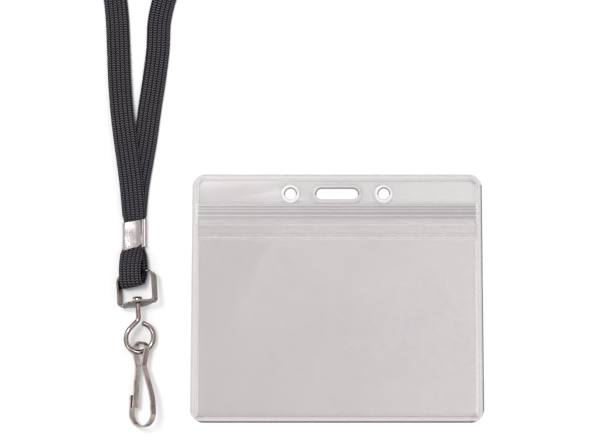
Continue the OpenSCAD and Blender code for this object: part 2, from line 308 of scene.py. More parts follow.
# Fine marks and clouding on plated metal, from a place in metres
def makeWornMetal():
    s = metalSettings
    group, given, result = newGroup(
        "WornMetal",
        {"Vector": "Vector", "Light": "Color", "Dark": "Color", "Base Roughness": "Float"},
        {"Base Color": "Color", "Roughness": "Float", "Bump Height": "Float"},
    )
    cloud = noiseNode(group, given["Vector"], s["cloudScale"])
    grain = noiseNode(group, given["Vector"], s["grainScale"], 2)
    share = swing(group, cloud, s["cloudGain"], s["cloudMiddle"])
    group.links.new(mixNode(group, share, given["Light"], given["Dark"]), result["Base Color"])
    spread = mathNode(group, "ADD", swing(group, grain, s["grainRough"]), swing(group, cloud, s["cloudRough"]))
    group.links.new(mathNode(group, "ADD", spread, given["Base Roughness"]), result["Roughness"])
    height = mathNode(group, "ADD", mathNode(group, "MULTIPLY", cloud, s["cloudHeight"]), grain)
    group.links.new(height, result["Bump Height"])
    return group


wornMetal = makeWornMetal()


# The rim colour is a painted reflection: it stands for the dark surroundings that curved plating mirrors at its edges
def makeMetal(name, light, dark, edge, roughness, bump):
    material, tree, shader = newMaterial(name)
    worn = useGroup(
        tree, wornMetal,
        {"Vector": objectPlace(tree), "Light": light, "Dark": dark, "Base Roughness": roughness},
    )
    facing = tree.nodes.new("ShaderNodeLayerWeight").outputs["Facing"]
    # Painted reflection: faces seen edge-on turn towards the dark rim colour
    rim = swing(tree, facing, metalSettings["paintedReflectionGain"], metalSettings["paintedReflectionMiddle"])
    tree.links.new(mixNode(tree, rim, worn["Base Color"], edge), shader.inputs["Base Color"])
    tree.links.new(worn["Roughness"], shader.inputs["Roughness"])
    addRelief(tree, shader, worn["Bump Height"], bump, metalSettings["relief"])
    shader.inputs["Metallic"].default_value = 1
    return material


# The alpha slope across the holder is painted light: the film grows clearer, so lighter, towards the right
filmSettings = {
    "waveScale": 16, "mottleScale": 420, "broadScale": 22, "mottleAlpha": 0.02, "broadAlpha": 0.04,
    "paintedSideLight": -0.55, "mottleRough": 0.2, "mottleHeight": 0.012, "relief": 0.5, "ior": 1.52,
}


# Slow waves and a faint mottle of soft vinyl, with painted light: a little clearer, so lighter, towards the right
def makeSoftFilm():
    s = filmSettings
    group, given, result = newGroup(
        "SoftFilm",
        {"Vector": "Vector", "Base Alpha": "Float", "Base Roughness": "Float"},
        {"Alpha": "Float", "Roughness": "Float", "Bump Height": "Float"},
    )
    wave = noiseNode(group, given["Vector"], s["waveScale"], 1)
    mottle = noiseNode(group, given["Vector"], s["mottleScale"])
    broad = noiseNode(group, given["Vector"], s["broadScale"], 2)
    split = group.nodes.new("ShaderNodeSeparateXYZ")
    group.links.new(given["Vector"], split.inputs[0])
    # Painted light: less alpha towards the right, so the film looks lighter there; the random mottle is added next
    paintedSideLight = mathNode(group, "MULTIPLY", split.outputs["X"], s["paintedSideLight"])
    paintedSideLight = mathNode(group, "ADD", paintedSideLight, swing(group, mottle, s["mottleAlpha"]))
    shade = mathNode(group, "ADD", paintedSideLight, swing(group, broad, s["broadAlpha"]))
    group.links.new(mathNode(group, "ADD", given["Base Alpha"], shade), result["Alpha"])
    blur = swing(group, mottle, s["mottleRough"])
    group.links.new(mathNode(group, "ADD", given["Base Roughness"], blur), result["Roughness"])
    height = mathNode(group, "ADD", wave, mathNode(group, "MULTIPLY", mottle, s["mottleHeight"]))
    group.links.new(height, result["Bump Height"])
    return group


softFilm = makeSoftFilm()


# Every vinyl takes the soft film's painted light, a little lighter towards the right
def makeVinyl(name, color, alpha, roughness, bump):
    material, tree, shader = newMaterial(name)
    soft = useGroup(
        tree, softFilm, {"Vector": objectPlace(tree), "Base Alpha": alpha, "Base Roughness": roughness},
    )
    tree.links.new(soft["Alpha"], shader.inputs["Alpha"])
    tree.links.new(soft["Roughness"], shader.inputs["Roughness"])
    addRelief(tree, shader, soft["Bump Height"], bump, filmSettings["relief"])
    shader.inputs["Base Color"].default_value = (*color, 1)
    shader.inputs["IOR"].default_value = filmSettings["ior"]
    return material


# The light colour is a painted highlight on the raised stitches; the dark one is the braid's own near-black
braidSettings = {
    "light": (0.27, 0.245, 0.285), "dark": (0.004, 0.0035, 0.005), "slant": 1.5, "creaseFall": 3, "crease": 0.75,
    "spineFall": 8, "spine": 0.3, "fuzzScale": 6, "fuzzBase": 0.3, "contrast": 2.8, "bump": 0.8, "relief": 0.25,
    "roughness": 0.7, "specular": 0.12,
}


# Rows of V stitches in columns; the UV's x counts columns and its y counts rows. The near-black braid gets a painted
# highlight on the raised part of each stitch, none in the creases
def makeBraidStitch():
    s = braidSettings
    group, given, result = newGroup(
        "BraidStitch",
        {"UV": "Vector", "Light": "Color", "Dark": "Color"},
        {"Base Color": "Color", "Bump Height": "Float"},
    )
    split = group.nodes.new("ShaderNodeSeparateXYZ")
    group.links.new(given["UV"], split.inputs[0])
    column = mathNode(group, "FRACT", split.outputs["X"])
    across = mathNode(group, "ABSOLUTE", mathNode(group, "SUBTRACT", column, 0.5))
    edge = mathNode(group, "MULTIPLY", across, 2)
    phase = mathNode(group, "ADD", split.outputs["Y"], mathNode(group, "MULTIPLY", across, s["slant"]))
    wave = mathNode(group, "SINE", mathNode(group, "MULTIPLY", phase, 2 * math.pi))
    row = mathNode(group, "MULTIPLY_ADD", wave, 0.5, 0.5)
    crease = mathNode(group, "MULTIPLY", mathNode(group, "POWER", edge, s["creaseFall"]), s["crease"])
    spine = mathNode(group, "POWER", mathNode(group, "SUBTRACT", 1, edge), s["spineFall"])
    creased = mathNode(group, "SUBTRACT", row, crease)
    height = mathNode(group, "SUBTRACT", creased, mathNode(group, "MULTIPLY", spine, s["spine"]))
    fuzz = noiseNode(group, given["UV"], s["fuzzScale"], 2)
    raised = mathNode(group, "POWER", mathNode(group, "MAXIMUM", height, 0), s["contrast"])
    # Painted highlight: the raised part of each stitch leans towards the light colour, varied by the fuzz
    paintedHighlight = mathNode(group, "MULTIPLY", raised, mathNode(group, "ADD", fuzz, s["fuzzBase"]))
    group.links.new(mixNode(group, paintedHighlight, given["Dark"], given["Light"]), result["Base Color"])
    group.links.new(height, result["Bump Height"])
    return group


def makeBraid(name):
    s = braidSettings
    material, tree, shader = newMaterial(name)
    uv = tree.nodes.new("ShaderNodeUVMap")
    uv.uv_map = "stitches"
    stitch = useGroup(tree, makeBraidStitch(), {"UV": uv.outputs["UV"], "Light": s["light"], "Dark": s["dark"]})
    tree.links.new(stitch["Base Color"], shader.inputs["Base Color"])
    addRelief(tree, shader, stitch["Bump Height"], s["bump"], s["relief"])
    shader.inputs["Roughness"].default_value = s["roughness"]
    shader.inputs["Specular IOR Level"].default_value = s["specular"]
    return material


def makePlain(name, color, roughness):
    material, tree, shader = newMaterial(name)
    shader.inputs["Base Color"].default_value = (*color, 1)
    shader.inputs["Roughness"].default_value = roughness
    return material


filmMaterial = makeVinyl("vinylFilm", (0.60, 0.535, 0.54), 0.15, 0.16, 0.2)
headerMaterial = makeVinyl("vinylHeader", (0.80, 0.755, 0.765), 0.12, 0.16, 0.25)
weldMaterial = makeVinyl("vinylWeld", (0.80, 0.765, 0.77), 0.34, 0.25, 0.2)
# A light vinyl for the weld's middle line and the holes' rims, also a painted highlight on the weld's inner edges at
# the sides
lightMaterial = makeVinyl("vinylLight", (0.96, 0.93, 0.935), 0.38, 0.3, 0.15)
# Painted shadow: a dark, half-clear vinyl along the holder's bottom and right outer edges and inside the holes' upper
# edges
paintedShadowMaterial = makeVinyl("vinylPaintedShadow", (0.14, 0.13, 0.135), 0.6, 0.25, 0.1)
rimMaterial = makeVinyl("vinylRim", (1, 0.985, 0.985), 0.62, 0.3, 0.15)
ridgeMaterial = makeVinyl("vinylRidge", (1, 0.97, 0.975), 0.3, 0.3, 0.15)
# Painted shade: a darker, half-clear vinyl for the zip's grooves and the bottom weld's inner edge
grooveShadeMaterial = makeVinyl("vinylGrooveShade", (0.50, 0.465, 0.47), 0.32, 0.25, 0.1)
crushMaterial = makeVinyl("vinylCrushed", (0.98, 0.97, 0.97), 0.5, 0.5, 0.6)
braidMaterial = makeBraid("braid")
tieMaterial = makePlain("tieFabric", (0.02, 0.02, 0.022), 0.75)
# The third colour of each metal is its painted dark reflection on faces seen edge-on
crimpMaterial = makeMetal("crimpNickel", (0.53, 0.485, 0.48), (0.51, 0.465, 0.46), (0.2, 0.16, 0.16), 0.13, 0.01)
nickelMaterial = makeMetal("warmNickel", (0.58, 0.485, 0.445), (0.27, 0.22, 0.21), (0.03, 0.02, 0.02), 0.16, 0.05)
print("materials made")


# Strap: one flat braid from the crimp round the hank and back to the crimp

strapSettings = {
    "width": 9.2, "thickness": 1.2, "length": 0.914, "rounds": 34, "columns": 5.4, "rowPitch": 0.95,
    "notch": 0.07, "selvedge": 0.93, "rib": 0.055, "skin": 0.05, "flat": 0.8, "full": 0.45,
    "squeeze": 0.89, "strandOpens": (5.2, 3.2), "loopOpens": (5.8, 3.5),
}
crimpX, crimpY = -79.8, 25.2
crimpAt = Vector((crimpX, crimpY, 0))
leftRoute = [
    (crimpX, crimpY, 2.45), (-79.8, 30.7, 2.5), (-80.2, 36, 2.85), (-80.9, 44, 3), (-82, 53, 2.9),
    (-83.4, 63, 2.7), (-84.7, 74, 2.4), (-85.6, 86, 2), (-86.1, 98, 1.4), (-86.7, 111, 1),
    (-88.2, 123, 0.9), (-91.3, 135, 1), (-94.2, 147, 1.4), (-95, 158, 1.4),
]
rightRoute = [
    (-53.2, 158, 4.85), (-54.6, 149, 4.4), (-57.6, 140.5, 2.9), (-61.4, 133, 1.6), (-66.8, 122, 1),
    (-70, 110, 0.8), (-70.7, 98, 0.8), (-72.2, 86, 0.9), (-74, 74, 0.9), (-75.5, 63, 1),
    (-77.2, 53, 1.1), (-78.7, 44, 1.2), (-79.5, 36, 1.3), (-79.8, 30.7, 1.25), (crimpX, crimpY, 1.2),
]
hank = {"x": -78, "low": 168, "high": 219, "start": 17, "end": 25, "lift": 1.4, "top": 4.8, "halfTurns": 5}


# Two and a half clockwise turns, each wider and higher than the one before
def hankRoute():
    route = []
    steps = 14
    for turn in range(hank["halfTurns"]):
        for i in range(steps + 1):
            share = (turn + i / steps) / hank["halfTurns"]
            radius = hank["start"] + (hank["end"] - hank["start"]) * share
            height = hank["lift"] + (hank["top"] - hank["lift"]) * share
            angle = math.pi - math.pi * (turn + i / steps)
            middle = hank["high"] if turn % 2 == 0 else hank["low"]
            place = (hank["x"] + radius * math.cos(angle), middle + radius * math.sin(angle), height)
            if i == 0:
                route.append((place[0], hank["low"] if turn % 2 == 0 else hank["high"], height))
            route.append(place)
    route.append((hank["x"] + hank["end"], hank["low"], hank["top"]))
    return route


# A smooth line through the points, cut into even steps, in millimetres
def smoothed(points, step):
    nearest, fineStep = 0.01, 0.4
    dense = []
    spots = [Vector(p) for p in points]
    spots = [spots[0], *[b for a, b in zip(spots, spots[1:]) if (b - a).length > nearest]]
    for i in range(len(spots) - 1):
        a, b, c, d = (spots[max(0, min(len(spots) - 1, i + k))] for k in (-1, 0, 1, 2))
        size = (c - b).length
        before = (c - a).normalized() * size
        after = (d - b).normalized() * size
        count = max(2, int(size / fineStep))
        for k in range(count):
            t = k / count
            dense.append(
                b * (2 * t**3 - 3 * t**2 + 1) + before * (t**3 - 2 * t**2 + t)
                + c * (3 * t**2 - 2 * t**3) + after * (t**3 - t**2)
            )
    dense.append(spots[-1])
    reach = [0]
    for a, b in zip(dense, dense[1:]):
        reach.append(reach[-1] + (b - a).length)
    count = max(2, round(reach[-1] / step))
    even, j = [], 0
    for i in range(count + 1):
        target = reach[-1] * i / count
        while j < len(reach) - 2 and reach[j + 1] < target:
            j += 1
        share = (target - reach[j]) / max(reach[j + 1] - reach[j], 1e-9)
        even.append(dense[j].lerp(dense[j + 1], min(1, share)))
    return even


# Across the braid at corner k of its section: from -1 to 1, in stitch columns, and the sine of its height
def braidCorner(k):
    s = strapSettings
    angle = math.pi * 2 * (k + 0.5) / s["rounds"]
    across = math.copysign(abs(math.cos(angle)) ** s["flat"], math.cos(angle))
    return across, (across * 0.5 + 0.5) * s["columns"], math.sin(angle)


# A flat tubular braid along a line of points, with its stitches counted in the UV
def braidMesh(name, line, widthAt, sideAt=None):
    s = strapSettings
    bm = bmesh.new()
    layer = bm.loops.layers.uv.new("stitches")
    rings, rows = [], []
    travelled = 0
    for i, point in enumerate(line):
        ahead = (line[min(i + 1, len(line) - 1)] - line[max(i - 1, 0)]).normalized()
        side = sideAt(i, ahead) if sideAt else ahead.cross(Vector((0, 0, 1))).normalized()
        up = side.cross(ahead).normalized()
        if i:
            travelled += (point - line[i - 1]).length
        row = travelled / s["rowPitch"]
        notch = s["notch"] * math.cos(2 * math.pi * row)
        ring = []
        for k in range(s["rounds"]):
            across, column, lift = braidCorner(k)
            rib = s["rib"] * abs(math.sin(math.pi * column))
            thick = s["thickness"] / 2 * abs(lift) ** s["full"] - s["skin"]
            wide = widthAt(i) / 2 + (notch if abs(across) > s["selvedge"] else 0)
            ring.append(bm.verts.new((point + side * across * wide + up * math.copysign(thick + rib, lift)) * mm))
        rings.append(ring)
        rows.append(row)
    for i in range(len(rings) - 1):
        for k in range(s["rounds"]):
            n = (k + 1) % s["rounds"]
            face = bm.faces.new((rings[i][k], rings[i][n], rings[i + 1][n], rings[i + 1][k]))
            face.smooth = True
            left, right = braidCorner(k)[1], braidCorner(k + 1)[1]
            uvs = ((left, rows[i]), (right, rows[i]), (right, rows[i + 1]), (left, rows[i + 1]))
            for loop, uv in zip(face.loops, uvs):
                loop[layer].uv = uv
    bm.faces.new(reversed(rings[0]))
    bm.faces.new(rings[-1])
    bmesh.ops.recalc_face_normals(bm, faces=bm.faces)
    return meshOf(bm, name)


def eased(x):
    x = max(0.0, min(1.0, x))
    return x * x * (3 - 2 * x)


# The braid is squeezed inside the crimp and opens just outside it
def braidWidth(i, count, shut, opening):
    s = strapSettings
    fromEnd = min(i, count - 1 - i) * s["rowPitch"] / 2
    return s["width"] * (s["squeeze"] + (1 - s["squeeze"]) * eased((fromEnd - shut) / opening))


strapLine = smoothed(leftRoute + hankRoute() + rightRoute, strapSettings["rowPitch"] / 2)


def strapWidth(i):
    return braidWidth(i, len(strapLine), *strapSettings["strandOpens"])


strap = keep("neckStrap", braidMesh("neckStrap", strapLine, strapWidth), braidMaterial)
strapLength = sum((b - a).length for a, b in zip(strapLine, strapLine[1:])) * mm
print("strap length", round(strapLength, 4))
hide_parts("strap_left", "strap_right", "strap_hank")
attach(strap, "lanyard")

tieSettings = {"x": -98.4, "y": 193.5, "width": 9, "limb": 17.6, "height": 5.4, "thickness": 0.7}


# A band round one limb of the hank, its end lapped on top
def makeTie():
    s = tieSettings
    half, top, t = s["limb"] / 2, s["height"], s["thickness"]
    path = rounded(
        [
            (-half + 3, top + 0.1, 0), (half, top + 0.1, 1.6), (half, t / 2, 1.2), (-half, t / 2, 1.2),
            (-half, top + 0.15, 1.6), (-half + 3.4, top + 0.95, 2), (half - 3.5, top + 0.95, 0),
        ],
        steps=6,
    )
    across = Matrix.Translation((s["x"] * mm, s["y"] * mm, 0)) @ Matrix.Rotation(math.pi / 2, 4, "X")
    return swept("hankTie", path, roundRect(t, s["width"], 0.2, 2), matrix=across)


tie = keep("hankTie", makeTie(), tieMaterial)
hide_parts("hank_tie")
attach(tie, "lanyard")
print("strap made")

# The strap's loop round the bar

barAt = Vector((-79, 10.2, 4.4))
loopSettings = {"x": -79.8, "inside": 22, "under": 1.15, "over": 2.4}
barTurn = Matrix.Rotation(math.radians(12), 4, "Z") @ Matrix.Rotation(math.radians(-20), 4, "Y")
loopRoute = [
    (9.6, -3.1, 0.2, -0.1), (6.6, -2.8, 0.6, 0.4), (3, -2.5, 0.9, 1), (0, -2.4, 1, 1), (-2.6, -2.3, 1, 0.5),
    (-4.4, -1.6, 1, 0), (-5.1, 0, 1, -0.5), (-4.6, 1.6, 1, -1), (-3, 2.35, 1, -1.3), (0, 2.5, 1, -1.5),
    (3, 2.1, 0.9, -1.5), (6.6, 0.5, 0.6, -1.1), (9.6, -1.4, 0.2, -0.5),
]


def makeLoop():
    s = loopSettings
    low = [(s["x"], crimpY, s["under"]), (s["x"], s["inside"], s["under"])]
    high = [(s["x"], s["inside"], s["over"]), (s["x"], crimpY, s["over"])]
    middle = [(s["x"] + x, barAt.y + y, barAt.z + z) for y, z, _, x in loopRoute]
    twists = [0, 0, *[t for _, _, t, _ in loopRoute], 0, 0]
    stations = low + middle + high
    line = smoothed(stations, strapSettings["rowPitch"] / 2)
    slope = (barTurn @ Vector((1, 0, 0))).normalized()
    knots = [Vector(p) for p in stations]
    reach = [0]
    for a, b in zip(knots, knots[1:]):
        reach.append(reach[-1] + (b - a).length)

    def twistAt(i):
        place = reach[-1] * i / (len(line) - 1)
        for k in range(len(reach) - 1):
            if place <= reach[k + 1]:
                share = (place - reach[k]) / (reach[k + 1] - reach[k])
                return twists[k] + (twists[k + 1] - twists[k]) * share
        return twists[-1]

    def sideAt(i, ahead):
        side = Vector((1, 0, 0)).lerp(slope, twistAt(i))
        return (side - ahead * side.dot(ahead)).normalized()

    def widthAt(i):
        return braidWidth(i, len(line), *strapSettings["loopOpens"])

    return braidMesh("strapLoop", line, widthAt, sideAt)


loop = keep("strapLoop", makeLoop(), braidMaterial)
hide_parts("strap_loop")
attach(loop, "lanyard")

# Crimp: a folded band whose right edge laps over the rest

crimpSettings = {"length": 10.9, "sheet": 0.42, "slope": 11, "half": 4.42, "top": 3.3}


def makeCrimp():
    s = crimpSettings
    half, top, low = s["half"], s["top"], s["sheet"] / 2
    line = rounded(
        [
            (3.9, 2.74, 0), (2.6, 2.78, 0.8), (0.9, top, 1.2), (-half, top, 0.9), (-half, low, 0.8),
            (half, low, 0.8), (half, top + 0.08, 0.8), (3.0, top + 0.05, 0),
        ],
        steps=6,
    )
    matrix = Matrix.Translation(crimpAt * mm) @ Matrix.Rotation(math.pi / 2, 4, "X")
    slant = math.tan(math.radians(s["slope"]))
    mesh = swept("crimp", line, roundRect(s["sheet"], s["length"], 0.1, 2), matrix=matrix, sharpAngle=18)
    bm = bmesh.new()
    bm.from_mesh(mesh)
    for vert in bm.verts:
        vert.co.y += slant * (vert.co.x - crimpAt.x * mm)
    bm.to_mesh(mesh)
    bm.free()
    return mesh


crimp = keep("crimp", makeCrimp(), crimpMaterial)
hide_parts("crimp")
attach(crimp, "lanyard")
print("loop and crimp made")

# Bracket: one bent strip, wide at the base and narrow at the bar

bracketSettings = {
    "width": 16, "height": 12.6, "sheet": 0.8, "arm": 3.6, "bend": 3.4, "foot": 1.6, "base": 8, "bar": 2,
    "barHalf": 6.2, "barEase": 1.3, "hole": 1.63, "cutter": 3, "tilt": 20, "edge": 0.16, "step": 0.35, "sharp": 13,
}
bracketMatrix = (
    Matrix.Translation(barAt * mm) @ barTurn @ Matrix.Rotation(math.radians(-bracketSettings["tilt"]), 4, "X")
)


# The strip's width at a point of its path: a narrow bar, even arms and a lens-shaped base
def bracketWidth(point):
    s = bracketSettings
    x, y = abs(point.x) / mm, point.y / mm
    if y > -s["sheet"]:
        return s["bar"] + (s["arm"] - s["bar"]) * eased((x - s["barHalf"] + 0.1) / s["barEase"])
    if y < -s["height"] + s["sheet"]:
        reach = s["width"] / 2 - s["sheet"] - 0.4
        ring = (reach**2 + s["base"] ** 2 / 4) / s["base"]
        lens = 2 * (math.sqrt(max(ring**2 - x**2, 0)) - ring + s["base"] / 2)
        return max(s["arm"], lens)
    return s["arm"]


def makeBracket():
    s = bracketSettings
    x, low, high = (s["width"] - s["sheet"]) / 2, -s["height"], 0
    foot, bend = s["foot"] - s["sheet"] / 2, s["bend"] - s["sheet"] / 2
    corners = [(x, low, foot), (x, high, bend), (-x, high, bend), (-x, low, foot)]
    path = lined(rounded(corners, closed=True, steps=12), s["step"])

    def widen(co):
        share = bracketWidth(co) / s["arm"]
        return Vector((co.x, co.y, co.z * share))

    profile = roundRect(s["sheet"], s["arm"], s["edge"], 3)
    mesh = swept("bracket", path, profile, closed=True, sharpAngle=50, move=widen)
    obj = keep("swivelBracket", mesh, nickelMaterial)
    bm = bmesh.new()
    hole = s["hole"] * mm
    bmesh.ops.create_cone(
        bm, cap_ends=True, segments=40, radius1=hole, radius2=hole, depth=s["cutter"] * mm,
        matrix=Matrix.Translation((0, low * mm, 0)) @ Matrix.Rotation(math.pi / 2, 4, "X"),
    )
    cutter = keep("cutter", meshOf(bm, "cutter"))
    cut = obj.modifiers.new("hole", "BOOLEAN")
    cut.object = cutter
    cut.solver = "EXACT"
    depsgraph = bpy.context.evaluated_depsgraph_get()
    whole = bpy.data.meshes.new_from_object(obj.evaluated_get(depsgraph))
    obj.modifiers.clear()
    bpy.data.objects.remove(cutter)
    obj.data = tidy(whole, s["sharp"], bracketMatrix)
    return obj


bracket = makeBracket()
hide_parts("swivel_bracket")
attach(bracket, "bracket")

# Swivel eye: headed shank, elbow and open ring of round wire

eyeSettings = {
    "wire": 1.9, "ring": 5.75, "shank": 5.2, "elbow": 2.4, "turn": 52, "end": 74, "yaw": 2.5, "pitch": 10, "roll": 25,
    "headBack": 1.92, "head": 2, "headTop": 0.86, "headThick": 0.7, "headEdge": 0.16, "sharp": 50,
}
baseAt = (bracketMatrix @ Vector((0, -bracketSettings["height"] * mm, 0))) / mm
eyeMatrix = (
    Matrix.Translation(baseAt * mm)
    @ Matrix.Rotation(math.radians(eyeSettings["yaw"]), 4, "Z")
    @ Matrix.Rotation(math.radians(eyeSettings["pitch"]), 4, "X")
    @ Matrix.Rotation(math.radians(eyeSettings["roll"]), 4, "Y")
)
elbowTurn = math.radians(eyeSettings["turn"])
ringSide = (
    eyeSettings["ring"] * math.cos(elbowTurn) - eyeSettings["elbow"] * (1 - math.cos(elbowTurn))
) / math.sin(elbowTurn)
ringMid = (
    -eyeSettings["shank"] - eyeSettings["elbow"] * math.sin(elbowTurn) - ringSide * math.cos(elbowTurn)
    - eyeSettings["ring"] * math.sin(elbowTurn)
)


def makeEye():
    s = eyeSettings
    route = [(0, s["headBack"] + 0.2), (0, 0), (0, -s["shank"])]
    route += arc((-s["elbow"], -s["shank"]), s["elbow"], 0, -s["turn"], 10)[1:]
    route += arc((0, ringMid), s["ring"], 180 - s["turn"], 360 + s["end"], 90)
    wire = swept("wire", route, circle(0, 0, s["wire"] / 2, 20), matrix=eyeMatrix, sharpAngle=s["sharp"])
    bm = bmesh.new()
    across = Matrix.Rotation(-math.pi / 2, 4, "X")
    place = Matrix.Translation((0, (s["headBack"] + s["headThick"] / 2) * mm, 0))
    bmesh.ops.create_cone(
        bm, cap_ends=True, segments=32, radius1=s["head"] * mm, radius2=s["head"] * s["headTop"] * mm,
        depth=s["headThick"] * mm, matrix=eyeMatrix @ place @ across,
    )
    rims = [e for e in bm.edges if any(len(f.verts) > 4 for f in e.link_faces)]
    bmesh.ops.bevel(
        bm, geom=rims, offset=s["headEdge"] * mm, segments=3, profile=0.5, affect="EDGES", material=-1,
    )
    mesh = joined("swivelEye", [wire, meshOf(bm, "head")])
    mesh.set_sharp_from_angle(angle=math.radians(s["sharp"]))
    return mesh


eye = keep("swivelEye", makeEye(), nickelMaterial)
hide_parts("swivel_eye")
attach(eye, "swivel")

# Hook: one flat strip for the body and a straight strip for the gate

hookSettings = {
    "strip": 2.8, "sheet": 0.75, "length": 33.6, "width": 11.7, "eye": 8.4, "eyeHeight": 9.2, "pinch": 2.8,
    "legBend": 22.4, "latch": 12.4, "lean": 0.9, "gate": 25.4, "gap": 0.3, "drop": 3.8,
    "shoulder": 1.2, "bulge": 18, "eyeRound": 0.97, "endRound": 0.92,
    "yaw": 2, "tilt": -8, "roll": -34, "edge": 0.13, "sharp": 13, "gateSteps": 24, "bendShare": 0.3,
}
hookAt = (eyeMatrix @ Vector((0, (ringMid - eyeSettings["ring"]) * mm, 0))) / mm
hookMatrix = (
    Matrix.Translation(hookAt * mm)
    @ Matrix.Rotation(math.radians(hookSettings["yaw"]), 4, "Z")
    @ Matrix.Rotation(math.radians(hookSettings["tilt"]), 4, "X")
    @ Matrix.Rotation(math.radians(hookSettings["roll"]), 4, "Y")
    @ Matrix.Translation((0, hookSettings["drop"] * mm, 0))
)


def hookCorners():
    s = hookSettings
    eyeIn = (s["eye"] - s["sheet"]) / 2
    corner = math.pi / 2 - math.atan((eyeIn - s["pinch"] / 2) / s["eyeHeight"])
    eyeRound = s["eyeRound"] * eyeIn * math.tan(corner / 2)
    wide = (s["width"] - s["sheet"]) / 2
    end = s["length"] - s["sheet"]
    endRound = s["endRound"] * wide
    body = [
        (-s["pinch"] / 2, -s["eyeHeight"], 0), (-eyeIn, 0, eyeRound), (eyeIn, 0, eyeRound),
        (s["pinch"] / 2, -s["eyeHeight"], s["shoulder"]), (wide, -s["legBend"], s["bulge"]), (wide, -end, endRound),
        (-wide, -end, endRound), (-wide + s["lean"], s["latch"] - end, 0),
    ]
    gate = [(-s["pinch"] / 2, -s["eyeHeight"]), (-wide + s["lean"] + s["sheet"] + s["gap"], -s["gate"])]
    return body, gate


def makeHook():
    s = hookSettings
    body, gate = hookCorners()
    profile = roundRect(s["sheet"], s["strip"], s["edge"], 3)
    bodyMesh = swept("hookBody", rounded(body, steps=14), profile, matrix=hookMatrix, sharpAngle=s["sharp"])
    (x0, y0), (x1, y1) = gate
    shares = [i / s["gateSteps"] for i in range(s["gateSteps"] + 1)]
    leg = [(x0 + (x1 - x0) * share, y0 + (y1 - y0) * share) for share in shares]
    gateMesh = swept("hookGate", leg, profile, matrix=hookMatrix, sharpAngle=s["sharp"])
    return keep("hookBody", bodyMesh, nickelMaterial), keep("hookGate", gateMesh, nickelMaterial)


hook, gate = makeHook()
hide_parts("hook_body")
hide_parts("hook_gate")
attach(hook, "hook")
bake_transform(gate)
print("hardware made")

# Holder: back film, welded border, header film with its rims, front film

holderSettings = {
    "top": 114, "bottom": 116.2, "height": 98, "corner": 5.2, "film": 0.4, "backInset": 0.3, "backEdge": 0.12,
    "headerLow": 37.55, "headerHigh": 46.5, "headerInset": 2.45, "headerUnder": 0.42, "headerOver": 0.8,
    "headerEdge": 0.1, "zipLow": 31.6, "lipLow": 23.6, "lipTop": 37.3, "lipHalf": 54.8, "split": 30,
    "holeX": 18.4, "holeY": 41.3, "hole": 2.25, "slot": 16.6, "slotHeight": 4.2,
}


# Rounded and a little wider at the bottom; clockwise, so that right of the path is inside
def holderOutline(inset, steps=8):
    s = holderSettings
    half = s["height"] / 2 - inset
    top, bottom = s["top"] / 2 - inset, s["bottom"] / 2 - inset
    radius = max(0.6, s["corner"] - inset)
    corners = [(top, half, radius), (bottom, -half, radius), (-bottom, -half, radius), (-top, half, radius)]
    return rounded(corners, closed=True, steps=steps)


def within(value, band):
    return band[0] < value < band[1]


def cutouts():
    s = holderSettings
    made = [circle(x * s["holeX"], s["holeY"], s["hole"]) for x in (-1, 1)]
    return made + [slotPath(0, s["holeY"], s["slot"], s["slotHeight"])]


def ride(obj, slotName, body, *nodes):
    if nodes:
        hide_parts(*nodes)
    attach(obj, body)
    return obj


# Where the weld's and the rims' faces change material, by their distance in from the edge; the dark bands are painted
# shadow and painted shade, and the weld's light inner edges on the left and right sides are painted highlights
weldBands = {
    "shade": 0.3, "shadeLow": 0.6, "groove": (2.16, 2.6), "crown": (0.98, 1.56), "inner": (2.1, 2.6), "side": 3,
    "near": 0.01, "spacing": 6, "sharp": 60,
}
rimBands = {"wall": 0.3, "brow": -0.3, "outer": 0.85, "slotFrom": 5, "sharp": 50}
# Material slots: painted shadow, the light vinyl, and the painted shade of grooves
paintedShadowFace, lightFace, grooveShadeFace = 1, 2, 3


